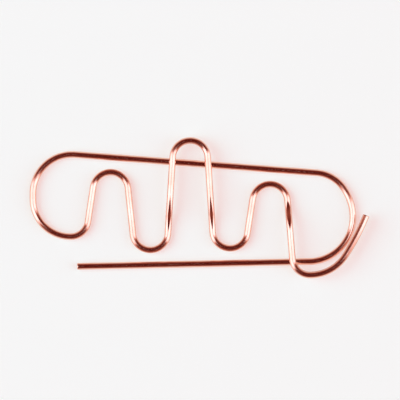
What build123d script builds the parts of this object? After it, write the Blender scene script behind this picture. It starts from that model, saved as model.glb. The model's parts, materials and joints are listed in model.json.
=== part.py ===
"""Wire paper clip whose tongue is a wave of three crests, bent from one length of round wire.

The clip lies flat on its frame: X runs along it, Y across it and Z up out of its plane, with the
origin at the bottom centre of its box. The wire is followed from the tip of the lower leg, round the
right bow, along the rail, round the left bow, along the wave and out to the tip of the tail. It is
divided at its bends into named sections, which meet face to face.
"""

import os
from itertools import pairwise
from math import asin, atan2, cos, degrees, hypot, pi, radians, sin, sqrt, tan
from typing import NamedTuple

from build123d import *

# Wire
wire_diameter = 1.0
crossing_gap = 0.1  # air between two strands where one passes over the other
cut_end_chamfer = 0.1

# Box of the whole clip
overall_length = 50.0
overall_width = 20.8

# Left bow, with the short straight run that twists when the tongue lifts
left_bow_rise = 1.7  # middle of the twisting run above the clip's middle line
left_bow_upper_radius = 5.75
left_bow_lower_radius = 5.55
twist_run = 0.8

# Rail, right bow and lower leg
rail_tilt = 4.3  # degrees down to the right
right_bow_inset = 1.9  # apex of the bow in from the farthest reach of the tail
right_bow_upper_radius = 5.8
right_bow_drop = 0.74  # apex of the bow below that of a round bend
right_bow_lower_radius = 6.56
leg_tilt = 1.2  # degrees up to the right
leg_tip_inset = 6.5  # cut end of the leg in from the apex of the left bow

# Wave of the tongue: a tall crest, which rises over the rail to the edge of the box, between two low ones
dip_clearance = 1.2  # air between the leg and the dips on either side of the tall crest
rail_clearance = 1.2  # air between the rail and the crowns of the low crests
wave_bend_share = 0.22  # of the distance between two crowns, the radius of the wave's bends

# Tail, which hooks over the leg and sweeps up outside the right bow
tail_reach = 8.3  # from its lowest point to its tip, along the clip
tail_rise = 8.8  # from its lowest point to its tip, across the clip
tail_heading = 68.0  # degrees at the tip

# Worked out from the sizes above
wire_radius = wire_diameter / 2
layer_step = wire_diameter + crossing_gap
half_length = overall_length / 2 - wire_radius
half_width = overall_width / 2 - wire_radius
straight_share = 1e-6  # of a run's length, the most that it may leave a straight line


class Station(NamedTuple):
    """A point on the wire's centreline and the level way that the wire runs through it."""

    point: Vector
    heading: float  # degrees anticlockwise from +X

    def direction(self):
        """Unit vector along the wire."""
        return Vector(cos(radians(self.heading)), sin(radians(self.heading)), 0)


def station(x, y, heading, level=0):
    """Station at a plan point, on the frame's level or that many layers above it."""
    return Station(Vector(x, y, wire_radius + level * layer_step), heading)


def frame_stations():
    """Stations from the tip of the leg to the bottom of the left bow, all on the frame's level."""
    tilt = radians(rail_tilt)
    slope = radians(leg_tilt)
    twist_top = left_bow_rise + twist_run / 2
    twist_bottom = left_bow_rise - twist_run / 2
    bow_bottom_x = -half_length + left_bow_lower_radius
    apex_x = half_length - right_bow_inset
    rail_left_x = -half_length + left_bow_upper_radius * (1 + sin(tilt))
    rail_left_y = twist_top + left_bow_upper_radius * cos(tilt)
    rail_right_x = apex_x - right_bow_upper_radius * (1 - sin(tilt))
    rail_right_y = rail_left_y - tan(tilt) * (rail_right_x - rail_left_x)
    apex_y = rail_right_y - right_bow_upper_radius * cos(tilt) - right_bow_drop
    leg_end_x = apex_x - right_bow_lower_radius * (1 - sin(slope))
    leg_end_y = apex_y - right_bow_lower_radius * cos(slope)
    leg_tip_x = -half_length + leg_tip_inset
    leg_tip_y = leg_end_y - tan(slope) * (leg_end_x - leg_tip_x)
    return {
        "leg_tip": station(leg_tip_x, leg_tip_y, leg_tilt),
        "leg_end": station(leg_end_x, leg_end_y, leg_tilt),
        "right_apex": station(apex_x, apex_y, 90),
        "rail_right": station(rail_right_x, rail_right_y, 180 - rail_tilt),
        "rail_left": station(rail_left_x, rail_left_y, 180 - rail_tilt),
        "twist_top": station(-half_length, twist_top, 270),
        "twist_middle": station(-half_length, left_bow_rise, 270),
        "twist_bottom": station(-half_length, twist_bottom, 270),
        "bow_bottom": station(bow_bottom_x, twist_bottom - left_bow_lower_radius, 0),
    }


def tail_stations():
    """Stations of the tail's lowest point, over the leg, and of its tip."""
    slope = radians(tail_heading)
    tip_x = overall_length / 2 - wire_radius * sin(slope) + cut_end_chamfer * cos(slope)
    lowest = station(tip_x - tail_reach, -half_width, 0, level=1)
    tip = station(tip_x, -half_width + tail_rise, tail_heading, level=1)
    return lowest, tip


def dip_height(x, leg_end):
    """How far up the clip the dips lie at a place along it, clear of the leg."""
    leg_y = leg_end.point.Y - tan(radians(leg_tilt)) * (leg_end.point.X - x)
    return leg_y + wire_diameter + dip_clearance


def low_crown(x, rail_left):
    """Crown of a low crest at a place along the clip, clear of the rail."""
    rail_y = rail_left.point.Y - tan(radians(rail_tilt)) * (x - rail_left.point.X)
    return station(x, rail_y - wire_diameter - rail_clearance, 0)


def flank(start, end, bend_radius):
    """Stations of the straight flank between a dip and a crown, whose bends have one radius."""
    run = end.point - start.point
    side = 1 if run.Y > 0 else -1
    rise = abs(run.Y) - 2 * bend_radius
    steepness = atan2(rise, run.X) + asin(2 * bend_radius / hypot(rise, run.X))
    bend_reach = Vector(bend_radius * sin(steepness), side * bend_radius * (1 - cos(steepness)))
    heading = side * degrees(steepness)
    middle = (start.point + end.point) / 2
    return [
        Station(start.point + bend_reach, heading),
        Station(Vector(middle.X, middle.Y, max(start.point.Z, end.point.Z)), heading),
        Station(end.point - bend_reach, heading),
    ]


def tongue_sections(frame):
    """Stations of each section of the tongue past the left bow, keyed by the section's name."""
    lowest, tip = tail_stations()
    first = frame["bow_bottom"]
    pitch = (lowest.point.X - first.point.X) / 3
    bend_radius = wave_bend_share * pitch
    dip_places = [first.point.X + pitch, first.point.X + 2 * pitch]
    dips = [first, *(station(x, dip_height(x, frame["leg_end"]), 0) for x in dip_places), lowest]
    left_x, middle_x, right_x = ((before.point.X + after.point.X) / 2 for before, after in pairwise(dips))
    crowns = {
        "left_crest": low_crown(left_x, frame["rail_left"]),
        "middle_crest": station(middle_x, half_width, 0, level=1),
        "right_crest": low_crown(right_x, frame["rail_left"]),
    }
    sections = {}
    for (name, crown), (before, after) in zip(crowns.items(), pairwise(dips)):
        sections[f"{name}_rise"] = [before, *flank(before, crown, bend_radius), crown]
        sections[f"{name}_fall"] = [crown, *flank(crown, after, bend_radius), after]
    sections["tail"] = [lowest, tip]
    return sections


def in_line(direction, run):
    """Whether a run lies along a direction."""
    return direction.cross(run).length < straight_share * run.length


def add_stretch(start, end, direction):
    """Add the arc, or the straight run, that leaves a point in a direction."""
    if in_line(direction, end - start):
        Line(start, end)
    else:
        TangentArc(start, end, tangent=direction)


def add_bend(start, end):
    """Add the two tangent arcs, or the straight run, that join two stations."""
    run = end.point - start.point
    if in_line(start.direction(), run) and in_line(end.direction(), run):
        Line(start.point, end.point)
        return
    both = start.direction() + end.direction()
    along = run.dot(both)
    spread = 4 - both.dot(both)
    if spread < straight_share:
        reach = run.dot(run) / (2 * along)
    else:
        reach = (sqrt(along**2 + spread * run.dot(run)) - along) / spread
    leaving = start.point + start.direction() * reach
    arriving = end.point - end.direction() * reach
    middle = (leaving + arriving) / 2
    add_stretch(start.point, middle, start.direction())
    add_stretch(middle, end.point, (arriving - leaving).normalized())


def form_section(label, stations, cut_end=None):
    """Sweep the wire through a section's stations, ease its cut end, write it and print its measures."""
    with BuildPart() as section:
        with BuildLine() as centreline:
            for start, end in pairwise(stations):
                add_bend(start, end)
        with BuildSketch(Plane(stations[0].point, z_dir=stations[0].direction())):
            Circle(wire_radius)
        sweep()
        wire_length = sum(edge.length for edge in centreline.edges())
        swept_share = section.part.volume / (wire_length * pi * wire_radius**2)
        if cut_end:
            end_face = section.faces().sort_by_distance(cut_end.point)[0]
            chamfer(end_face.edges(), length=cut_end_chamfer)
    radii = [edge.radius for edge in centreline.edges().filter_by(GeomType.CIRCLE)]
    tightest = f"tightest bend {min(radii):.2f} mm" if radii else "straight"
    print(f"{label}: length {wire_length:.2f} mm, {tightest}, volume share {swept_share:.4f}")
    section.part.label = label
    export_step(section.part, f"parts/{label}.step")


frame = frame_stations()
tongue = tongue_sections(frame)

os.makedirs("parts", exist_ok=True)
form_section("lower_leg", [frame["leg_tip"], frame["leg_end"]], cut_end=frame["leg_tip"])
form_section("right_bow_lower", [frame["leg_end"], frame["right_apex"]])
form_section("right_bow_upper", [frame["right_apex"], frame["rail_right"]])
form_section("top_rail", [frame["rail_right"], frame["rail_left"]])
form_section("left_bow_upper", [frame["rail_left"], frame["twist_top"], frame["twist_middle"]])
form_section("left_bow_lower", [frame["twist_middle"], frame["twist_bottom"], frame["bow_bottom"]])
tail = tongue.pop("tail")
for section_name, section_stations in tongue.items():
    form_section(section_name, section_stations)
form_section("tail", tail, cut_end=tail[-1])
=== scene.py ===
"""Looks of a wire paper clip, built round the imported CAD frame.

The clip is one round wire in bright rose copper plating, bent flat: a frame of rail and left bow, a leg
that comes back from the right bow, and a tongue bent to a wave that lies over both. Each body
gets its length of the wire as one sweep along the centreline of its CAD sections, and each free end its
sheared tip. Lengths are in metres, in the CAD frame: X along the clip, Y across it, Z up out of its plane.
"""

import json
import logging
from collections.abc import Mapping, Sequence
from dataclasses import dataclass, field
from enum import Enum, IntEnum
from itertools import pairwise
from math import asin, atan2, cos, degrees, hypot, pi, radians, sin, sqrt, tan
from typing import Any, ClassVar

import bmesh
import bpy
from mathutils import Matrix, Vector, noise


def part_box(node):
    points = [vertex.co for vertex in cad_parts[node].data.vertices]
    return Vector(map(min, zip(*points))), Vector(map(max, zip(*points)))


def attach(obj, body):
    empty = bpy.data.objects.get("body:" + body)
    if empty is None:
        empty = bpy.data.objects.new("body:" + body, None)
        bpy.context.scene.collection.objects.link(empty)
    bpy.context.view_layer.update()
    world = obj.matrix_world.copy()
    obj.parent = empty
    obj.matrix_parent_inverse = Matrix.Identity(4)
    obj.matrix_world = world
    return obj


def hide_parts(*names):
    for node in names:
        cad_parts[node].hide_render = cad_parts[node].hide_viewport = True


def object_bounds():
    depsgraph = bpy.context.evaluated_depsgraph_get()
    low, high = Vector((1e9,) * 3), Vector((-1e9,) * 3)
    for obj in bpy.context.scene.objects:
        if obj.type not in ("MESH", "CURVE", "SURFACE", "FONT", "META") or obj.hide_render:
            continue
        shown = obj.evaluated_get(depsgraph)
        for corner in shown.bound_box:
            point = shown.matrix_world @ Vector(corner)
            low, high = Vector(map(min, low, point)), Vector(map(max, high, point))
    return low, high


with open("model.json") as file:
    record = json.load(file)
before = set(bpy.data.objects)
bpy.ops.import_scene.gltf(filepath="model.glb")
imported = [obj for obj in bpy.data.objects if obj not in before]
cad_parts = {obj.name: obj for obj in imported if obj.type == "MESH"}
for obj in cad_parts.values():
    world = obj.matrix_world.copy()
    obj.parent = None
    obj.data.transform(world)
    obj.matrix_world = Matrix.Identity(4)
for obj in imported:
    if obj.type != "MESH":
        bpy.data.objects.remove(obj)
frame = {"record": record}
cad_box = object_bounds()

LOG = logging.getLogger("paper_clip")
MM = 0.001
UP = Vector((0, 0, 1))
WIRE_SPACE = "wire_space"  # place round the wire and along it
BEND_STRAIN = "bend_strain"  # stretch of the surface on the outside of bends, squeeze on the inside
CREASE_ANGLE = radians(60)
STRAIGHT_SHARE = 1e-5  # of a run's length, the most that it may leave a straight line
PATH_STEPS = 48  # in which the curve between two knots of a path is drawn
MIX_FIRST, MIX_SECOND, MIX_RESULT = 6, 7, 2  # sockets of a node that mixes colours

Colour = tuple[float, float, float]
Scale = tuple[float, float, float]
Span = tuple[float, float]
Piece = bpy.types.Object
Socket = bpy.types.NodeSocket
Tree = bpy.types.NodeTree
Vertex = bmesh.types.BMVert


class Body(Enum):
    """The CAD bodies that pieces ride on."""

    FRAME = "frame"
    LEG = "leg"
    TONGUE = "tongue"


class Layer(IntEnum):
    """How many strands lie under a stretch of the wire."""

    FRAME = 0
    OVER = 1


class Slot(Enum):
    """The record's material slots."""

    PLATED_WIRE = "plated_wire"


def rgba(colour: Colour) -> tuple[float, float, float, float]:
    """A colour with full opacity, as colour sockets take it."""
    return (*colour, 1.0)


def add_node(tree: Tree, kind: str, inputs: Mapping[str | int, Any], **settings: Any) -> bpy.types.Node:
    """Add a node to a tree, with its settings and inputs.

    Args:
        tree: The node tree that gets the node.
        kind: The node's type name.
        inputs: For each input, by name or number, the output that feeds it or its value.
        settings: Properties of the node, set before its inputs.

    Returns:
        The new node.
    """
    node = tree.nodes.new(kind)
    for name, value in settings.items():
        setattr(node, name, value)
    for key, value in inputs.items():
        if isinstance(value, Socket):
            tree.links.new(value, node.inputs[key])
        else:
            node.inputs[key].default_value = value
    return node


def add_math(tree: Tree, operation: str, *values: Any) -> Socket:
    """Work out a number.

    Args:
        tree: The node tree.
        operation: What the math node does.
        values: The outputs that feed it, or numbers.

    Returns:
        The result.
    """
    return add_node(tree, "ShaderNodeMath", dict(enumerate(values)), operation=operation).outputs["Value"]


def add_vector_math(tree: Tree, operation: str, *values: Any) -> Socket:
    """Work out a vector, or the number that a length or a dot product is.

    Args:
        tree: The node tree.
        operation: What the vector math node does.
        values: The outputs that feed it, or vectors.

    Returns:
        The result.
    """
    node = add_node(tree, "ShaderNodeVectorMath", dict(enumerate(values)), operation=operation)
    return node.outputs["Value" if operation in ("LENGTH", "DOT_PRODUCT") else "Vector"]


def add_scaled(tree: Tree, vector: Socket, scale: Socket) -> Socket:
    """A vector times a number."""
    node = add_node(tree, "ShaderNodeVectorMath", {"Vector": vector, "Scale": scale}, operation="SCALE")
    return node.outputs["Vector"]


def add_ramp(tree: Tree, value: Socket, edges: Sequence[Any], results: Span = (0.0, 1.0)) -> Socket:
    """Ease from one result to another as a value goes from one edge to the other.

    Args:
        tree: The node tree.
        value: The value.
        edges: Where the easing starts and ends.
        results: What it gives before and after.

    Returns:
        The eased result.
    """
    limits = dict(zip(("From Min", "From Max", "To Min", "To Max"), (*edges, *results)))
    ramp = add_node(
        tree, "ShaderNodeMapRange", {"Value": value, **limits}, interpolation_type="SMOOTHSTEP"
    )
    return ramp.outputs["Result"]


def add_mix(tree: Tree, share: Socket, first: Any, second: Any) -> Socket:
    """Mix two colours.

    Args:
        tree: The node tree.
        share: How much of the second colour there is.
        first: One colour.
        second: The other.

    Returns:
        The mixed colour.
    """
    inputs = {"Factor": share, MIX_FIRST: first, MIX_SECOND: second}
    return add_node(tree, "ShaderNodeMix", inputs, data_type="RGBA").outputs[MIX_RESULT]


def empty_material(name: str) -> tuple[bpy.types.Material, Tree]:
    """Make a material whose tree has no nodes yet.

    Args:
        name: Name of the material.

    Returns:
        The material and its tree.
    """
    material = bpy.data.materials.new(name)
    material.use_nodes = True
    material.node_tree.nodes.clear()
    return material, material.node_tree


def link_piece(name: str, mesh: bpy.types.Mesh) -> Piece:
    """An object at the origin for a mesh, which is creased at its sharp edges.

    Args:
        name: Name of the object.
        mesh: The mesh.

    Returns:
        The object, linked to the scene.
    """
    mesh.name = name
    mesh.set_sharp_from_angle(angle=CREASE_ANGLE)
    piece = bpy.data.objects.new(name, mesh)
    bpy.context.scene.collection.objects.link(piece)
    return piece


@dataclass(frozen=True)
class Wire:
    """The round wire, as the frame gives it."""

    diameter: float
    layer_step: float

    @classmethod
    def from_frame(cls) -> "Wire":
        """Measure the rail's wire, and the step between layers that the CAD box leaves above it.

        Returns:
            The wire.
        """
        low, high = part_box("top_rail")
        diameter = high.z - low.z
        return cls(diameter, cad_box[1].z - cad_box[0].z - diameter)

    @property
    def radius(self) -> float:
        """Half the wire's thickness."""
        return self.diameter / 2

    def station(self, x: float, y: float, heading: float, layer: Layer = Layer.FRAME) -> "Station":
        """A station of the centreline on a layer."""
        return Station(Vector((x, y, self.radius + layer * self.layer_step)), heading)


@dataclass(frozen=True)
class Station:
    """A point on the wire's centreline and the level way that the wire runs through it."""

    point: Vector
    heading: float  # degrees anticlockwise from +X

    def direction(self) -> Vector:
        """Unit vector along the wire."""
        return Vector((cos(radians(self.heading)), sin(radians(self.heading)), 0))


@dataclass(frozen=True)
class Arc:
    """A round or straight stretch of the centreline, with its end tangents."""

    start: Vector
    end: Vector
    leaving: Vector
    arriving: Vector

    @property
    def chord(self) -> float:
        """Straight distance from its start to its end."""
        return (self.end - self.start).length

    @property
    def half_turn(self) -> float:
        """Half the angle that it turns through, in radians."""
        return self.leaving.angle(self.arriving) / 2

    def length(self) -> float:
        """Length along the arc."""
        turn = self.half_turn
        return self.chord if turn < STRAIGHT_SHARE else self.chord * turn / sin(turn)

    def handle_length(self) -> float:
        """Work out the Bezier handles that make this arc.

        Returns:
            The distance from a knot to its handle.
        """
        if self.half_turn < STRAIGHT_SHARE:
            return self.chord / 3
        radius = self.chord / (2 * sin(self.half_turn))
        return 4 / 3 * tan(self.half_turn / 2) * radius


def bend(start: Station, end: Station) -> list[Arc]:
    """The straight run or the two tangent arcs that join two stations.

    Args:
        start: Where the wire comes from.
        end: Where it goes.

    Returns:
        One arc, or two that meet in line.
    """
    leaving, arriving = start.direction(), end.direction()
    run = end.point - start.point
    if max(leaving.cross(run).length, arriving.cross(run).length) < STRAIGHT_SHARE * run.length:
        return [Arc(start.point, end.point, leaving, arriving)]
    both = leaving + arriving
    along = run.dot(both)
    spread = 4 - both.dot(both)
    if spread < STRAIGHT_SHARE:
        reach = run.dot(run) / (2 * along)
    else:
        reach = (sqrt(along**2 + spread * run.dot(run)) - along) / spread
    corner_before = start.point + leaving * reach
    corner_after = end.point - arriving * reach
    middle = (corner_before + corner_after) / 2
    through = (corner_after - corner_before).normalized()
    return [Arc(start.point, middle, leaving, through), Arc(middle, end.point, through, arriving)]


def bezier_path(name: str, arcs: Sequence[Arc]) -> Piece:
    """A Bezier curve along arcs.

    Args:
        name: Name of the curve.
        arcs: The arcs in the order in which the wire follows them.

    Returns:
        The curve's object, linked to the scene.
    """
    curve = bpy.data.curves.new(name, "CURVE")
    curve.dimensions = "3D"
    curve.twist_mode = "Z_UP"
    curve.resolution_u = PATH_STEPS
    spline = curve.splines.new("BEZIER")
    spline.bezier_points.add(len(arcs))
    places = [(arc.start, arc.leaving) for arc in arcs] + [(arcs[-1].end, arcs[-1].arriving)]
    reaches = [arc.handle_length() for arc in arcs]
    befores, afters = [reaches[0], *reaches], [*reaches, reaches[-1]]
    for knot, (place, way), before, after in zip(spline.bezier_points, places, befores, afters):
        knot.handle_left_type = knot.handle_right_type = "FREE"
        knot.co = place
        knot.handle_left = place - way * before
        knot.handle_right = place + way * after
    path = bpy.data.objects.new(name, curve)
    bpy.context.scene.collection.objects.link(path)
    return path


@dataclass
class WireSweep:
    """The Geometry Nodes tree that draws the wire along a centreline, and how finely it does so."""

    ring_spacing: float = 0.12 * MM
    sides: int = 28
    bend_flattening: float = 0.4  # of the wire's radius, times the bend's strain squared
    tree: Tree = field(init=False)
    sockets: dict[str, str] = field(init=False, default_factory=dict)

    INPUTS: ClassVar[dict[str, str]] = {
        "Path": "NodeSocketGeometry",
        "Wire Radius": "NodeSocketFloat",
        "Ring Spacing": "NodeSocketFloat",
        "Sides": "NodeSocketInt",
        "Bend Flattening": "NodeSocketFloat",
        "Wire Before": "NodeSocketFloat",
        "Start Trim": "NodeSocketFloat",
        "End Trim": "NodeSocketFloat",
        "Finish": "NodeSocketMaterial",
    }

    def __post_init__(self) -> None:
        """Build the tree, with named inputs for its sizes."""
        self.tree = bpy.data.node_groups.new("wire_sweep", "GeometryNodeTree")
        self.tree.is_modifier = True
        for name, kind in self.INPUTS.items():
            socket = self.tree.interface.new_socket(name=name, in_out="INPUT", socket_type=kind)
            self.sockets[name] = socket.identifier
        self.tree.interface.new_socket(name="Wire", in_out="OUTPUT", socket_type="NodeSocketGeometry")
        self._fill()

    def _fill(self) -> None:
        """Add and join the tree's nodes."""
        tree = self.tree
        size = tree.nodes.new("NodeGroupInput").outputs
        path = self._trimmed_path(size)
        length = tree.nodes.new("GeometryNodeSplineParameter").outputs["Length"]
        before = add_math(tree, "ADD", size["Wire Before"], size["Start Trim"])
        along = add_math(tree, "ADD", length, before)
        kept_path = self._capture(path, {"Curvature": self._curvature(size), "Along": along})
        circle = add_node(
            tree, "GeometryNodeCurvePrimitiveCircle",
            {"Resolution": size["Sides"], "Radius": size["Wire Radius"]},
        )
        place = tree.nodes.new("GeometryNodeInputPosition").outputs["Position"]
        profile = self._capture(circle.outputs["Curve"], {"Around": place})
        tube = add_node(
            tree, "GeometryNodeCurveToMesh",
            {"Curve": kept_path["Geometry"], "Profile Curve": profile["Geometry"], "Fill Caps": True},
        )
        lengthwise = add_node(tree, "ShaderNodeCombineXYZ", {"Z": kept_path["Along"]}).outputs["Vector"]
        unrolled = add_vector_math(tree, "ADD", profile["Around"], lengthwise)
        normal = tree.nodes.new("GeometryNodeInputNormal").outputs["Normal"]
        outward = add_math(tree, "MULTIPLY", size["Wire Radius"], -1.0)
        facing = add_vector_math(tree, "DOT_PRODUCT", kept_path["Curvature"], normal)
        strain = add_math(tree, "MULTIPLY", facing, outward)
        marked = self._store(tube.outputs["Mesh"], WIRE_SPACE, "FLOAT_VECTOR", unrolled)
        marked = self._store(marked, BEND_STRAIN, "FLOAT", strain)
        squared = add_math(tree, "MULTIPLY", strain, strain)
        share = add_math(tree, "MULTIPLY", squared, size["Bend Flattening"])
        inset = add_scaled(tree, normal, add_math(tree, "MULTIPLY", share, outward))
        oval = add_node(tree, "GeometryNodeSetPosition", {"Geometry": marked, "Offset": inset})
        smooth = add_node(tree, "GeometryNodeSetShadeSmooth", {"Geometry": oval.outputs["Geometry"]})
        real = add_node(tree, "GeometryNodeRealizeInstances", {"Geometry": smooth.outputs["Geometry"]})
        dressed = add_node(
            tree, "GeometryNodeSetMaterial",
            {"Geometry": real.outputs["Geometry"], "Material": size["Finish"]},
        )
        add_node(tree, "NodeGroupOutput", {"Wire": dressed.outputs["Geometry"]})

    def _trimmed_path(self, size: Mapping[str, Socket]) -> Socket:
        """The path less its trims, divided into even rings.

        Args:
            size: The tree's inputs.

        Returns:
            The curve that the wire follows.
        """
        whole = self.tree.nodes.new("GeometryNodeSplineLength").outputs["Length"]
        trim = add_node(self.tree, "GeometryNodeTrimCurve", {"Curve": size["Path"]}, mode="LENGTH")
        ends = ("Start", "End")
        start, end = [socket for socket in trim.inputs if socket.enabled and socket.name in ends]
        self.tree.links.new(size["Start Trim"], start)
        self.tree.links.new(add_math(self.tree, "SUBTRACT", whole, size["End Trim"]), end)
        rings = add_node(
            self.tree, "GeometryNodeResampleCurve",
            {"Curve": trim.outputs["Curve"], "Length": size["Ring Spacing"]}, mode="LENGTH",
        )
        return rings.outputs["Curve"]

    def _curvature(self, size: Mapping[str, Socket]) -> Socket:
        """How sharply the path turns, as a vector towards the inside of the bend.

        Args:
            size: The tree's inputs.

        Returns:
            The field, for the path's points.
        """
        tree = self.tree
        tangent = tree.nodes.new("GeometryNodeInputTangent").outputs["Tangent"]
        index = tree.nodes.new("GeometryNodeInputIndex").outputs["Index"]
        neighbours = []
        for step in (1, -1):
            place = {"Point Index": index, "Offset": step}
            offset = add_node(tree, "GeometryNodeOffsetPointInCurve", place).outputs
            way = add_node(
                tree, "GeometryNodeFieldAtIndex", {"Index": offset["Point Index"], "Value": tangent},
                data_type="FLOAT_VECTOR", domain="POINT",
            )
            known = add_node(
                tree, "GeometryNodeSwitch",
                {"Switch": offset["Is Valid Offset"], "False": tangent, "True": way.outputs["Value"]},
                input_type="VECTOR",
            )
            neighbours.append(known.outputs["Output"])
        turn = add_vector_math(tree, "SUBTRACT", *neighbours)
        span = add_math(tree, "MULTIPLY", size["Ring Spacing"], 2.0)
        return add_scaled(tree, turn, add_math(tree, "DIVIDE", 1.0, span))

    def _capture(self, geometry: Socket, fields: Mapping[str, Socket]) -> Mapping[str, Socket]:
        """Keep fields of a curve's points, for the mesh that is made of it.

        Args:
            geometry: The curve.
            fields: The fields by name.

        Returns:
            The outputs of the capturing node: the geometry and the kept fields.
        """
        node = add_node(self.tree, "GeometryNodeCaptureAttribute", {"Geometry": geometry}, domain="POINT")
        for name, value in fields.items():
            node.capture_items.new("VECTOR" if value.type == "VECTOR" else "FLOAT", name)
            self.tree.links.new(value, node.inputs[name])
        return node.outputs

    def _store(self, geometry: Socket, name: str, kind: str, value: Socket) -> Socket:
        """Write a field to the mesh as a named attribute.

        Args:
            geometry: The mesh.
            name: Name of the attribute.
            kind: Its data type.
            value: The field.

        Returns:
            The mesh with the attribute.
        """
        node = add_node(
            self.tree, "GeometryNodeStoreNamedAttribute",
            {"Geometry": geometry, "Name": name, "Value": value}, data_type=kind, domain="POINT",
        )
        return node.outputs["Geometry"]

    def draw(self, name: str, arcs: Sequence[Arc], sizes: Mapping[str, Any]) -> Piece:
        """Draw the wire along arcs as a plain mesh.

        Args:
            name: Name of the piece.
            arcs: The arcs in order.
            sizes: Values of the tree's inputs that differ from run to run.

        Returns:
            The piece, at the origin.
        """
        path = bezier_path(f"{name}_path", arcs)
        modifier = path.modifiers.new("wire_sweep", "NODES")
        modifier.node_group = self.tree
        fineness = {
            "Ring Spacing": self.ring_spacing,
            "Sides": self.sides,
            "Bend Flattening": self.bend_flattening,
        }
        for key, value in {**fineness, **sizes}.items():
            modifier[self.sockets[key]] = value
        evaluated = path.evaluated_get(bpy.context.evaluated_depsgraph_get())
        mesh = bpy.data.meshes.new_from_object(evaluated)
        path.modifiers.remove(modifier)
        bpy.data.objects.remove(path)
        return link_piece(name, mesh)


class SurfaceEffects:
    """The shader node groups that both finishes use."""

    PATCH_EDGES: ClassVar[Span] = (0.35, 0.65)  # of its noise, where a patch starts and where it is full
    PATCH_DETAIL: ClassVar[float] = 4.0
    PATCH_RAGGEDNESS: ClassVar[float] = 0.6
    LINE_DETAIL: ClassVar[float] = 2.0
    SCUFF_LEAN: ClassVar[Scale] = (0.5, 0.3, 0.9)  # radians about X, Y and Z
    SCUFF_SQUEEZE: ClassVar[Scale] = (1.0, 1.0, 0.22)  # draws the scratches out
    SCUFF_LEVEL: ClassVar[float] = 0.5  # of smooth noise, whose contour at this level is the scratches
    SCUFFED_EDGES: ClassVar[Span] = (0.52, 0.66)  # of its noise, where a scuffed area starts and is full
    SCUFFED_DETAIL: ClassVar[float] = 2.0

    def __init__(self) -> None:
        """Build each group once."""
        self.tone = self._plating_tone()
        self.lines = self._drawn_lines()
        self.scuffs = self._handling_scuffs()

    @staticmethod
    def _new_group(name: str, inputs: Mapping[str, str], outputs: Mapping[str, str]) -> tuple[Tree, Any]:
        """Start a shader node group.

        Args:
            name: Name of the group.
            inputs: The kinds of its input sockets by name.
            outputs: The kinds of its output sockets by name.

        Returns:
            The group and the sockets that bring its inputs.
        """
        group = bpy.data.node_groups.new(name, "ShaderNodeTree")
        for in_out, sockets in (("INPUT", inputs), ("OUTPUT", outputs)):
            for socket, kind in sockets.items():
                group.interface.new_socket(name=socket, in_out=in_out, socket_type=f"NodeSocket{kind}")
        return group, group.nodes.new("NodeGroupInput").outputs

    @staticmethod
    def _noise(group: Tree, place: Socket, scale: Socket, detail: float, raggedness: float = 0.5) -> Socket:
        """Spread noise over the surface.

        Args:
            group: The group that gets it.
            place: The surface's own space.
            scale: How many swells there are to a metre.
            detail: How many finer layers of noise are added.
            raggedness: How strong each is, next to the one before.

        Returns:
            The noise, from nothing to one.
        """
        inputs = {"Vector": place, "Scale": scale, "Detail": detail, "Roughness": raggedness}
        return add_node(group, "ShaderNodeTexNoise", inputs).outputs["Fac"]

    def _plating_tone(self) -> Tree:
        """A plating that is deeper and a little duller in some patches.

        Returns:
            The group, which puts out a colour and the mask of those patches.
        """
        inputs = {"Place": "Vector", "Patches per Metre": "Float", "Bright": "Color", "Deep": "Color"}
        group, given = self._new_group("plating_tone", inputs, {"Tone": "Color", "Patches": "Float"})
        cloud = self._noise(
            group, given["Place"], given["Patches per Metre"], self.PATCH_DETAIL, self.PATCH_RAGGEDNESS
        )
        patches = add_ramp(group, cloud, self.PATCH_EDGES)
        tone = add_mix(group, patches, given["Bright"], given["Deep"])
        add_node(group, "NodeGroupOutput", {"Tone": tone, "Patches": patches})
        return group

    def _drawn_lines(self) -> Tree:
        """Fine parallel lines that a die or a blade drew.

        Returns:
            The group, which puts out a height.
        """
        inputs = {"Place": "Vector", "Lines per Metre": "Float", "Squeeze": "Vector"}
        group, given = self._new_group("drawn_lines", inputs, {"Height": "Float"})
        drawn_out = add_vector_math(group, "MULTIPLY", given["Place"], given["Squeeze"])
        lines = self._noise(group, drawn_out, given["Lines per Metre"], self.LINE_DETAIL)
        add_node(group, "NodeGroupOutput", {"Height": lines})
        return group

    def _handling_scuffs(self) -> Tree:
        """Sparse fine scratches from handling.

        Returns:
            The group, which puts out a mask of the scratches and a height.
        """
        inputs = {"Place": "Vector", "Scuffs per Metre": "Float", "Width": "Float"}
        group, given = self._new_group("handling_scuffs", inputs, {"Mask": "Float", "Height": "Float"})
        leaning = add_node(
            group, "ShaderNodeVectorRotate",
            {"Vector": given["Place"], "Rotation": self.SCUFF_LEAN}, rotation_type="EULER_XYZ",
        )
        drawn_out = add_vector_math(group, "MULTIPLY", leaning.outputs["Vector"], self.SCUFF_SQUEEZE)
        swells = self._noise(group, drawn_out, given["Scuffs per Metre"], detail=0.0)
        off_level = add_math(group, "ABSOLUTE", add_math(group, "SUBTRACT", swells, self.SCUFF_LEVEL))
        line = add_ramp(group, off_level, (0.0, given["Width"]), (1.0, 0.0))
        handled = self._noise(group, given["Place"], given["Scuffs per Metre"], self.SCUFFED_DETAIL)
        mask = add_math(group, "MULTIPLY", line, add_ramp(group, handled, self.SCUFFED_EDGES))
        height = add_math(group, "SUBTRACT", 1.0, mask)
        add_node(group, "NodeGroupOutput", {"Mask": mask, "Height": height})
        return group


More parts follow.
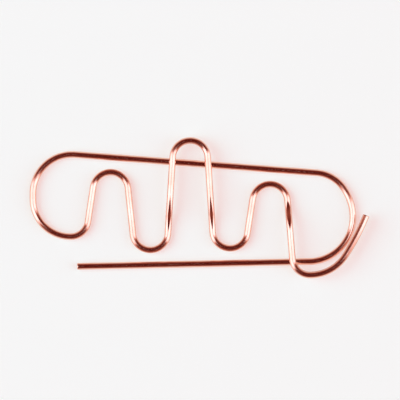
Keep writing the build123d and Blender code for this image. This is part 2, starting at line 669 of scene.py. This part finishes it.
@dataclass(frozen=True)
class MetalFinish:
    """A bright metal surface with deeper patches, drawn lines and scuffs, in the wire's own space."""

    name: str
    bright_tone: Colour
    deep_tone: Colour
    patches_per_metre: float
    patch_depth: float
    polish: float
    patch_dulling: float
    scuff_dulling: float
    bend_dulling: float  # roughness that a whole strain of one would add
    lines_per_metre: float
    line_squeeze: Scale  # draws the lines out, along the wire or over a cut
    line_depth: float
    scuffs_per_metre: float
    scuff_width: float  # of their noise, past the level that they follow
    scuff_depth: float

    def material(self, effects: SurfaceEffects) -> bpy.types.Material:
        """Build the material.

        Args:
            effects: The shared node groups.

        Returns:
            The material.
        """
        material, tree = empty_material(self.name)
        place = add_node(tree, "ShaderNodeAttribute", {}, attribute_name=WIRE_SPACE).outputs["Vector"]
        tone = self._place_group(
            tree, effects.tone, place, self.patches_per_metre,
            {"Bright": rgba(self.bright_tone), "Deep": rgba(self.deep_tone)},
        )
        lines = self._place_group(
            tree, effects.lines, place, self.lines_per_metre, {"Squeeze": self.line_squeeze}
        )
        scuffs = self._place_group(
            tree, effects.scuffs, place, self.scuffs_per_metre, {"Width": self.scuff_width}
        )
        strain = add_node(tree, "ShaderNodeAttribute", {}, attribute_name=BEND_STRAIN).outputs["Fac"]
        roughness = self.polish
        for mask, dulling in (
            (tone["Patches"], self.patch_dulling),
            (add_math(tree, "MAXIMUM", strain, 0.0), self.bend_dulling),
            (scuffs["Mask"], self.scuff_dulling),
        ):
            roughness = add_math(tree, "MULTIPLY_ADD", mask, dulling, roughness)
        relief: dict[str, Socket] = {}
        for height, depth in (
            (tone["Patches"], self.patch_depth),
            (lines["Height"], self.line_depth),
            (scuffs["Height"], self.scuff_depth),
        ):
            bump = add_node(tree, "ShaderNodeBump", {"Height": height, "Distance": depth, **relief})
            relief = {"Normal": bump.outputs["Normal"]}
        shader = add_node(
            tree, "ShaderNodeBsdfPrincipled",
            {"Base Color": tone["Tone"], "Metallic": 1.0, "Roughness": roughness, **relief},
        )
        add_node(tree, "ShaderNodeOutputMaterial", {"Surface": shader.outputs["BSDF"]})
        return material

    @staticmethod
    def _place_group(tree: Tree, group: Tree, place: Socket, count: float, rest: Mapping[str, Any]) -> Any:
        """Place a shader node group in the material.

        Args:
            tree: The material's node tree.
            group: The group, whose first inputs are the place and a count for each metre.
            place: The wire's own space.
            count: The count.
            rest: The group's other inputs.

        Returns:
            The group's outputs.
        """
        return add_node(tree, "ShaderNodeGroup", {0: place, 1: count, **rest}, node_tree=group).outputs


PLATING = MetalFinish(
    name="rose_copper_plating",
    bright_tone=(0.93, 0.58, 0.46),
    deep_tone=(0.89, 0.49, 0.37),
    patches_per_metre=240.0,
    patch_depth=0.003 * MM,
    polish=0.10,
    patch_dulling=0.03,
    scuff_dulling=0.10,
    bend_dulling=0.35,
    lines_per_metre=14000.0,
    line_squeeze=(1.0, 1.0, 0.012),
    line_depth=0.002 * MM,
    scuffs_per_metre=900.0,
    scuff_width=0.008,
    scuff_depth=0.0007 * MM,
)
SHEARED = MetalFinish(
    name="plated_shear",
    bright_tone=(0.86, 0.56, 0.47),
    deep_tone=(0.70, 0.40, 0.31),
    patches_per_metre=5200.0,
    patch_depth=0.004 * MM,
    polish=0.24,
    patch_dulling=0.12,
    scuff_dulling=0.25,
    bend_dulling=0.0,
    lines_per_metre=20000.0,
    line_squeeze=(0.05, 1.0, 1.0),
    line_depth=0.006 * MM,
    scuffs_per_metre=6000.0,
    scuff_width=0.02,
    scuff_depth=0.006 * MM,
)


@dataclass(frozen=True)
class Finishes:
    """The clip's materials."""

    plating: bpy.types.Material
    sheared: bpy.types.Material

    @classmethod
    def make(cls) -> "Finishes":
        """Build both materials on the same effects."""
        effects = SurfaceEffects()
        return cls(PLATING.material(effects), SHEARED.material(effects))


@dataclass(frozen=True)
class CutEnd:
    """The wire's sheared tip: rolled over where the blade went in, sharp and torn where it broke out."""

    name: str
    tip: Vector
    outward: Vector
    blade_side: Vector  # the side from which the blade came
    radius: float
    length: float = 0.2 * MM
    roll_over: float = 0.17 * MM
    break_edge: float = 0.07 * MM
    tear_spread: float = 0.25  # of the radius, how far on either side of the axis the tear comes in
    tear_depth: float = 0.03 * MM
    tear_grain: float = 0.012 * MM
    tear_grain_size: float = 0.12 * MM
    sides: int = 40
    rim_rings: int = 6
    face_rings: int = 6

    def profile(self, turn: float) -> list[tuple[float, float]]:
        """The tip's outline on one side of its axis, from its root over its rim to near its middle.

        Args:
            turn: Angle round the axis from the blade's side, in radians.

        Returns:
            Distances from the axis, each with its height over the end of the wire.
        """
        blade_share = (1 + cos(turn)) / 2
        edge = self.break_edge + (self.roll_over - self.break_edge) * blade_share
        outline = [(self.radius, -self.length)]
        for step in range(self.rim_rings + 1):
            angle = pi / 2 * step / self.rim_rings
            outline.append((self.radius - edge * (1 - cos(angle)), -edge * (1 - sin(angle))))
        rim = self.radius - edge
        for step in range(1, self.face_rings):
            reach = rim * (1 - step / self.face_rings)
            outline.append((reach, -self.tear(reach * cos(turn), reach * sin(turn))))
        return outline

    def tear(self, towards_blade: float, across: float) -> float:
        """How deep the face lies at a place, smooth by the blade and torn past the middle.

        Args:
            towards_blade: Distance from the axis towards the blade's side.
            across: Distance from the axis along the blade's edge.

        Returns:
            The depth below the end of the wire.
        """
        torn = min(max(0.5 - towards_blade / (2 * self.tear_spread * self.radius), 0.0), 1.0)
        place = Vector((towards_blade, across, 0)) / self.tear_grain_size
        return torn * (self.tear_depth + self.tear_grain * noise.noise(place))

    def build(self, finishes: Finishes) -> Piece:
        """Build the tip, closed at its root, with plating on its side and a shear on its face.

        Args:
            finishes: The clip's materials.

        Returns:
            The piece, at the origin.
        """
        shape = bmesh.new()
        columns, middle = self._points(shape)
        for column, following in zip(columns, [*columns[1:], columns[0]]):
            for row in range(len(column) - 1):
                face = shape.faces.new((column[row], following[row], following[row + 1], column[row + 1]))
                face.material_index = int(row > self.rim_rings)
            face = shape.faces.new((column[-1], following[-1], middle))
            face.material_index = 1
        shape.faces.new([column[0] for column in reversed(columns)])
        for face in shape.faces:
            face.smooth = True
        mesh = bpy.data.meshes.new(self.name)
        shape.to_mesh(mesh)
        shape.free()
        mesh.materials.append(finishes.plating)
        mesh.materials.append(finishes.sheared)
        return link_piece(self.name, mesh)

    def _points(self, shape: bmesh.types.BMesh) -> tuple[list[list[Vertex]], Vertex]:
        """Add the tip's vertices, each with its place in the wire's own space.

        Args:
            shape: The mesh that gets them.

        Returns:
            The vertices of each outline, and the one in the middle of the face.
        """
        space = shape.verts.layers.float_vector.new(WIRE_SPACE)
        near = self.blade_side.normalized()
        turned = Matrix((near, self.outward.cross(near), self.outward)).transposed()

        def vertex(reach: float, turn: float, height: float) -> Vertex:
            """Add a vertex.

            Args:
                reach: Distance from the axis.
                turn: Angle round the axis from the blade's side, in radians.
                height: Distance past the end of the wire.

            Returns:
                The vertex.
            """
            place = Vector((reach * cos(turn), reach * sin(turn), height))
            made = shape.verts.new(self.tip + turned @ place)
            made[space] = place
            return made

        turns = [2 * pi * number / self.sides for number in range(self.sides)]
        columns = [[vertex(reach, turn, height) for reach, height in self.profile(turn)] for turn in turns]
        return columns, vertex(0, 0, -self.tear(0, 0))


@dataclass
class WireRun:
    """A length of the wire that moves with one body."""

    wire: Wire
    body: ClassVar[Body]

    def stations(self) -> list[Station]:
        """The stations of the length in the order in which the wire passes them."""
        raise NotImplementedError

    def cut_ends(self) -> list[CutEnd]:
        """The sheared tips of the length."""
        return []

    def trims(self) -> tuple[float, float]:
        """What sheared tips and gaps take up at the start and at the end."""
        return 0.0, 0.0

    def arcs(self) -> list[Arc]:
        """The arcs of the centreline, in order."""
        return [arc for start, end in pairwise(self.stations()) for arc in bend(start, end)]

    def length(self) -> float:
        """Length of the centreline."""
        return sum(arc.length() for arc in self.arcs())

    def build(self, sweep: WireSweep, finishes: Finishes, wire_before: float) -> None:
        """Draw the length and its sheared tips, dress them, and tie them to the frame.

        Args:
            sweep: The tree that draws the wire.
            finishes: The clip's materials.
            wire_before: How much of the wire comes before this length.
        """
        start_trim, end_trim = self.trims()
        sizes = {
            "Wire Radius": self.wire.radius,
            "Wire Before": wire_before,
            "Start Trim": start_trim,
            "End Trim": end_trim,
            "Finish": finishes.plating,
        }
        length = sweep.draw(f"{self.body.value}_wire", self.arcs(), sizes)
        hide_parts(*frame["record"]["behaviour"]["bodies"][self.body.value])
        for piece in (length, *(end.build(finishes) for end in self.cut_ends())):
            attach(piece, self.body.value)
            LOG.info("%s rides on %s with %d faces", piece.name, self.body.value, len(piece.data.polygons))


@dataclass
class FrameRun(WireRun):
    """The rail and the upper half of the left bow."""

    body: ClassVar[Body] = Body.FRAME
    bow_rise: float = 1.7 * MM  # middle of the twisting run above the clip's middle line
    bow_upper_radius: float = 5.75 * MM
    twist_run: float = 0.8 * MM
    rail_tilt: float = 4.3  # degrees down to the right
    right_bow_inset: float = 1.9 * MM  # apex of the bow in from the farthest reach of the tail
    right_bow_upper_radius: float = 5.8 * MM
    handover: float = 0.3 * MM  # straight wire past the right bow that is drawn with the leg
    twist_gap: float = 0.0002 * MM  # air that lets the wire turn against the lengths before and after it

    @property
    def half_length(self) -> float:
        """From the clip's middle to the centreline at the ends of its box."""
        return -cad_box[0].x - self.wire.radius

    @property
    def apex_x(self) -> float:
        """Place of the right bow's apex along the clip."""
        return self.half_length - self.right_bow_inset

    def rail_left(self) -> Station:
        """Place the end of the rail, where it runs into the left bow.

        Returns:
            The station.
        """
        tilt = radians(self.rail_tilt)
        x = -self.half_length + self.bow_upper_radius * (1 + sin(tilt))
        y = self.bow_rise + self.twist_run / 2 + self.bow_upper_radius * cos(tilt)
        return self.wire.station(x, y, 180 - self.rail_tilt)

    def rail_right(self) -> Station:
        """Where the rail runs into the right bow."""
        x = self.apex_x - self.right_bow_upper_radius * (1 - sin(radians(self.rail_tilt)))
        return self.wire.station(x, self.height_at(x), 180 - self.rail_tilt)

    def wire_start(self) -> Station:
        """Where the leg's wire ends and the rail's starts, square to the axis that it twists about."""
        x = self.rail_right().point.x - self.handover * cos(radians(self.rail_tilt))
        return self.wire.station(x, self.height_at(x), 180 - self.rail_tilt)

    def height_at(self, x: float) -> float:
        """How far up the clip the rail lies at a place along it."""
        left = self.rail_left().point
        return left.y - tan(radians(self.rail_tilt)) * (x - left.x)

    def twist(self, share: float) -> Station:
        """A station of the twisting run, at a share of it from its middle upwards."""
        return self.wire.station(-self.half_length, self.bow_rise + share * self.twist_run, 270)

    def stations(self) -> list[Station]:
        """The stations from the right bow to the middle of the left one."""
        return [self.wire_start(), self.rail_left(), self.twist(0.5), self.twist(0)]

    def trims(self) -> tuple[float, float]:
        """What the gaps take up."""
        return self.twist_gap, self.twist_gap


@dataclass
class LegRun(WireRun):
    """The right bow and the lower leg."""

    body: ClassVar[Body] = Body.LEG
    rail: FrameRun
    bow_drop: float = 0.74 * MM  # apex of the bow below that of a round bend
    bow_lower_radius: float = 6.56 * MM
    tilt: float = 1.2  # degrees up to the right
    tip_inset: float = 6.5 * MM  # cut end in from the apex of the left bow

    def apex(self) -> Station:
        """The farthest point of the right bow."""
        drop = self.rail.right_bow_upper_radius * cos(radians(self.rail.rail_tilt)) + self.bow_drop
        return self.wire.station(self.rail.apex_x, self.rail.rail_right().point.y - drop, 90)

    def bow_end(self) -> Station:
        """Place the start of the bow, where the leg runs into it.

        Returns:
            The station.
        """
        slope = radians(self.tilt)
        apex = self.apex().point
        x = apex.x - self.bow_lower_radius * (1 - sin(slope))
        return self.wire.station(x, apex.y - self.bow_lower_radius * cos(slope), self.tilt)

    def height_at(self, x: float) -> float:
        """How far up the clip the leg lies at a place along it."""
        end = self.bow_end().point
        return end.y - tan(radians(self.tilt)) * (end.x - x)

    def tip(self) -> Station:
        """The cut end."""
        x = -self.rail.half_length + self.tip_inset
        return self.wire.station(x, self.height_at(x), self.tilt)

    def stations(self) -> list[Station]:
        """The stations from the cut end to the rail."""
        return [self.tip(), self.bow_end(), self.apex(), self.rail.rail_right(), self.rail.wire_start()]

    def cut_ends(self) -> list[CutEnd]:
        """The sheared tip, which was cut from above."""
        tip = self.tip()
        return [CutEnd("leg_cut_end", tip.point, -tip.direction(), UP, self.wire.radius)]

    def trims(self) -> tuple[float, float]:
        """What the sheared tip takes up."""
        return self.cut_ends()[0].length, 0.0


@dataclass
class TongueRun(WireRun):
    """The lower half of the left bow, the wave of three crests and the tail."""

    body: ClassVar[Body] = Body.TONGUE
    rail: FrameRun
    leg: LegRun
    bow_lower_radius: float = 5.55 * MM
    dip_clearance: float = 1.2 * MM  # air between the leg and the dips on either side of the tall crest
    rail_clearance: float = 1.2 * MM  # air between the rail and the crowns of the low crests
    bend_share: float = 0.22  # of the distance between two crowns, the radius of the wave's bends
    tail_reach: float = 8.3 * MM  # from its lowest point to its tip, along the clip
    tail_rise: float = 8.8 * MM  # from its lowest point to its tip, across the clip
    tail_heading: float = 68.0  # degrees at the tip
    cut_end_chamfer: float = 0.1 * MM  # of the CAD model's tail

    @property
    def half_width(self) -> float:
        """From the clip's middle line to the centreline at the sides of its box."""
        return cad_box[1].y - self.wire.radius

    @property
    def pitch(self) -> float:
        """Distance along the clip from one crown of the wave to the next."""
        return (self.tail_lowest().point.x - self.bow_bottom().point.x) / 3

    def bow_bottom(self) -> Station:
        """The lowest point of the left bow, where the wave starts."""
        x = -self.rail.half_length + self.bow_lower_radius
        return self.wire.station(x, self.rail.twist(-0.5).point.y - self.bow_lower_radius, 0)

    def dip(self, x: float) -> Station:
        """A dip of the wave at a place along the clip, clear of the leg."""
        return self.wire.station(x, self.leg.height_at(x) + self.wire.diameter + self.dip_clearance, 0)

    def low_crown(self, x: float) -> Station:
        """The crown of a low crest at a place along the clip, clear of the rail."""
        return self.wire.station(x, self.rail.height_at(x) - self.wire.diameter - self.rail_clearance, 0)

    def tall_crown(self, x: float) -> Station:
        """The crown of the tall crest, past the rail and over it."""
        return self.wire.station(x, self.half_width, 0, Layer.OVER)

    def tail_tip(self) -> Station:
        """Place the cut end of the tail, whose chamfer in the CAD model ends at the side of the box.

        Returns:
            The station.
        """
        slope = radians(self.tail_heading)
        end_x = -cad_box[0].x
        x = end_x - self.wire.radius * sin(slope) + self.cut_end_chamfer * cos(slope)
        return self.wire.station(x, -self.half_width + self.tail_rise, self.tail_heading, Layer.OVER)

    def tail_lowest(self) -> Station:
        """The tail's lowest point, over the leg, where the wave ends."""
        x = self.tail_tip().point.x - self.tail_reach
        return self.wire.station(x, -self.half_width, 0, Layer.OVER)

    def wave(self) -> list[Station]:
        """Place the dips and crowns of the wave.

        Returns:
            Their stations in turn, from the left bow to the tail.
        """
        start = self.bow_bottom()
        makers = (self.low_crown, self.dip, self.tall_crown, self.dip, self.low_crown)
        places = [start.point.x + self.pitch / 2 * number for number in range(1, len(makers) + 1)]
        return [start, *(make(x) for make, x in zip(makers, places)), self.tail_lowest()]

    def flank(self, start: Station, end: Station) -> list[Station]:
        """The stations of the straight flank between a dip and a crown, whose bends have one radius.

        Args:
            start: The dip or crown that the wire comes from.
            end: The one that it goes to.

        Returns:
            The end of the first bend, the middle of the flank and the start of the second bend.
        """
        radius = self.bend_share * self.pitch
        run = end.point - start.point
        side = 1 if run.y > 0 else -1
        rise = abs(run.y) - 2 * radius
        steepness = atan2(rise, run.x) + asin(2 * radius / hypot(rise, run.x))
        reach = Vector((radius * sin(steepness), side * radius * (1 - cos(steepness)), 0))
        middle = (start.point + end.point) / 2
        middle.z = max(start.point.z, end.point.z)
        heading = side * degrees(steepness)
        return [Station(point, heading) for point in (start.point + reach, middle, end.point - reach)]

    def stations(self) -> list[Station]:
        """Follow the wire from the middle of the left bow to the tip of the tail.

        Returns:
            The stations.
        """
        made = [self.rail.twist(0), self.rail.twist(-0.5)]
        for start, end in pairwise(self.wave()):
            made += [start, *self.flank(start, end)]
        return [*made, self.tail_lowest(), self.tail_tip()]

    def cut_ends(self) -> list[CutEnd]:
        """Make the tail's sheared tip, which was cut from its outer side.

        Returns:
            That tip.
        """
        tip = self.tail_tip()
        outer_side = tip.direction().cross(UP)
        return [CutEnd("tail_cut_end", tip.point, tip.direction(), outer_side, self.wire.radius)]

    def trims(self) -> tuple[float, float]:
        """What the sheared tip takes up."""
        return 0.0, self.cut_ends()[0].length


@dataclass(frozen=True)
class Panel:
    """A bright wall of the light tent, which reaches from the horizon to the zenith."""

    azimuth: float  # degrees anticlockwise from +X to its middle
    half_angle: float  # degrees from its middle to its edge

    def depth(self, tree: Tree, way: Socket, level: Socket) -> Socket:
        """How far inside the panel's edges a direction points.

        Args:
            tree: The world's node tree.
            way: The direction.
            level: Its level reach.

        Returns:
            Degrees from the nearer edge, less than nothing outside.
        """
        middle = (cos(radians(self.azimuth)), sin(radians(self.azimuth)), 0.0)
        towards = add_vector_math(tree, "DOT_PRODUCT", way, middle)
        off_middle = add_math(tree, "ARCCOSINE", add_math(tree, "DIVIDE", towards, level))
        return add_math(tree, "SUBTRACT", self.half_angle, add_math(tree, "DEGREES", off_middle))


@dataclass(frozen=True)
class Studio:
    """A pale floor in a light tent, a soft lamp and the camera over the clip."""

    # The floor throws back little red and glows red in the camera and in reflections. Where it is lit, the
    # two make a pale grey, and its shadows are rosy, as they are beside copper.
    floor_tone: Colour = (0.25, 0.60, 0.60)
    floor_lift: Colour = (0.743, 0.414, 0.381)
    floor_radius: float = 0.30
    floor_fade_from: float = 0.07  # distance from the middle, past which it fades into the world
    floor_sides: int = 96
    # The tent has a bright panel on either side, with a flush along its edges. The gaps between the panels
    # are dark overhead and lighter towards the rim, and the whole tent is pale at the horizon.
    right_panel: Panel = Panel(azimuth=-5.0, half_angle=30.0)
    left_panel: Panel = Panel(azimuth=189.0, half_angle=33.0)
    panel_tone: Colour = (1.75, 1.85, 2.15)
    gap_tone: Colour = (0.075, 0.003, 0.001)
    gap_edges: Span = (-5.0, 6.7)  # degrees inside a panel's edge
    rim_tone: Colour = (0.32, 0.10, 0.075)
    rim_edges: Span = (0.35, 0.98)  # level reach of a direction
    zenith_tone: Colour = (0.13, 0.010, 0.003)
    zenith_edges: Span = (0.03, 0.09)  # level reach of a direction
    flush_tone: Colour = (0.75, 0.26, 0.15)
    flush_edges: Span = (0.0, 13.3)  # degrees inside a panel's edge
    horizon_tone: Colour = (0.92, 0.92, 0.92)
    horizon_edges: Span = (0.05, 0.16)  # height of a direction
    lamp_azimuth: float = 166.0  # degrees anticlockwise from +X
    lamp_zenith: float = 52.0  # degrees down from straight above
    lamp_distance: float = 2.0
    lamp_width: float = 1.54
    lamp_power: float = 20.8
    lamp_tone: Colour = (0.2, 1.0, 0.98)  # only the floor shows it
    view_centre: tuple[float, float] = (0.10 * MM, 1.14 * MM)
    view_width: float = 58.92 * MM
    camera_height: float = 1.2
    camera_near_limit: float = 0.01

    def set_up(self) -> None:
        """Make the floor, the world, the lamp and the camera."""
        self._floor()
        self._world()
        self._lamp()
        self._camera()
        bpy.context.scene.view_settings.view_transform = "Standard"

    def _floor(self) -> None:
        """Make the floor, which fades into the world at its rim."""
        mesh = bpy.data.meshes.new("floor")
        shape = bmesh.new()
        bmesh.ops.create_circle(shape, cap_ends=True, segments=self.floor_sides, radius=self.floor_radius)
        shape.to_mesh(mesh)
        shape.free()
        material, tree = empty_material("pale_floor")
        place = tree.nodes.new("ShaderNodeTexCoord").outputs["Object"]
        reach = add_vector_math(tree, "LENGTH", place)
        fade = add_ramp(tree, reach, (self.floor_fade_from, self.floor_radius))
        ray = tree.nodes.new("ShaderNodeLightPath").outputs
        bounced = add_math(tree, "MAXIMUM", ray["Is Glossy Ray"], ray["Is Transmission Ray"])
        seen = add_math(tree, "MAXIMUM", ray["Is Camera Ray"], bounced)
        matt = add_node(tree, "ShaderNodeBsdfDiffuse", {"Color": rgba(self.floor_tone)})
        lift = add_node(tree, "ShaderNodeEmission", {"Color": rgba(self.floor_lift), "Strength": seen})
        pale = add_node(tree, "ShaderNodeAddShader", {0: matt.outputs["BSDF"], 1: lift.outputs["Emission"]})
        clear = tree.nodes.new("ShaderNodeBsdfTransparent").outputs["BSDF"]
        surface = add_node(tree, "ShaderNodeMixShader", {0: fade, 1: pale.outputs["Shader"], 2: clear})
        add_node(tree, "ShaderNodeOutputMaterial", {"Surface": surface.outputs["Shader"]})
        mesh.materials.append(material)
        floor = bpy.data.objects.new("floor", mesh)
        bpy.context.scene.collection.objects.link(floor)

    def _world(self) -> None:
        """Make the light tent, whose colours are mixed by how far inside a panel a direction points."""
        world = bpy.data.worlds.new("light_tent")
        world.use_nodes = True
        tree = world.node_tree
        tree.nodes.clear()
        way = tree.nodes.new("ShaderNodeTexCoord").outputs["Generated"]
        flat = add_vector_math(tree, "MULTIPLY", way, (1.0, 1.0, 0.0))
        level = add_vector_math(tree, "LENGTH", flat)
        depths = [panel.depth(tree, way, level) for panel in (self.right_panel, self.left_panel)]
        depth = add_math(tree, "MAXIMUM", *depths)
        rim = add_ramp(tree, level, self.rim_edges)
        gap = add_mix(tree, rim, rgba(self.gap_tone), rgba(self.rim_tone))
        glow = add_mix(tree, add_ramp(tree, depth, self.gap_edges), gap, rgba(self.flush_tone))
        side = add_mix(tree, add_ramp(tree, depth, self.flush_edges), glow, rgba(self.panel_tone))
        sky = add_mix(tree, add_ramp(tree, level, self.zenith_edges), rgba(self.zenith_tone), side)
        height = add_node(tree, "ShaderNodeSeparateXYZ", {"Vector": way}).outputs["Z"]
        tent = add_mix(tree, add_ramp(tree, height, self.horizon_edges), rgba(self.horizon_tone), sky)
        back = add_node(tree, "ShaderNodeBackground", {"Color": tent, "Strength": 1.0})
        add_node(tree, "ShaderNodeOutputWorld", {"Surface": back.outputs["Background"]})
        bpy.context.scene.world = world

    def _lamp(self) -> None:
        """Make the soft lamp, which faces the clip and gives it its shadow."""
        lamp = bpy.data.lights.new("soft_lamp", "AREA")
        lamp.size = self.lamp_width
        lamp.energy = self.lamp_power
        lamp.color = self.lamp_tone
        turn = Matrix.Rotation(radians(self.lamp_azimuth), 4, "Z")
        tip_down = Matrix.Rotation(radians(self.lamp_zenith), 4, "Y")
        rig = bpy.data.objects.new("soft_lamp", lamp)
        rig.matrix_world = turn @ tip_down @ Matrix.Translation((0, 0, self.lamp_distance))
        rig.visible_camera = False
        rig.visible_glossy = False
        bpy.context.scene.collection.objects.link(rig)

    def _camera(self) -> None:
        """Make the camera, straight above the clip."""
        data = bpy.data.cameras.new("overhead_camera")
        data.lens = data.sensor_width * self.camera_height / self.view_width
        data.clip_start = self.camera_near_limit
        camera = bpy.data.objects.new("overhead_camera", data)
        camera.location = (*self.view_centre, self.camera_height)
        bpy.context.scene.collection.objects.link(camera)
        bpy.context.scene.camera = camera


def main() -> None:
    logging.basicConfig(level=logging.INFO, format="%(name)s: %(message)s")
    wire = Wire.from_frame()
    rail = FrameRun(wire)
    leg = LegRun(wire, rail)
    tongue = TongueRun(wire, rail, leg)
    finishes = Finishes.make()
    sweep = WireSweep()
    wire_before = 0.0
    for run in (leg, rail, tongue):
        run.build(sweep, finishes, wire_before)
        wire_before += run.length()
    LOG.info("the wire is %.1f mm long", wire_before / MM)
    Studio().set_up()


if __name__ == "__main__":
    main()
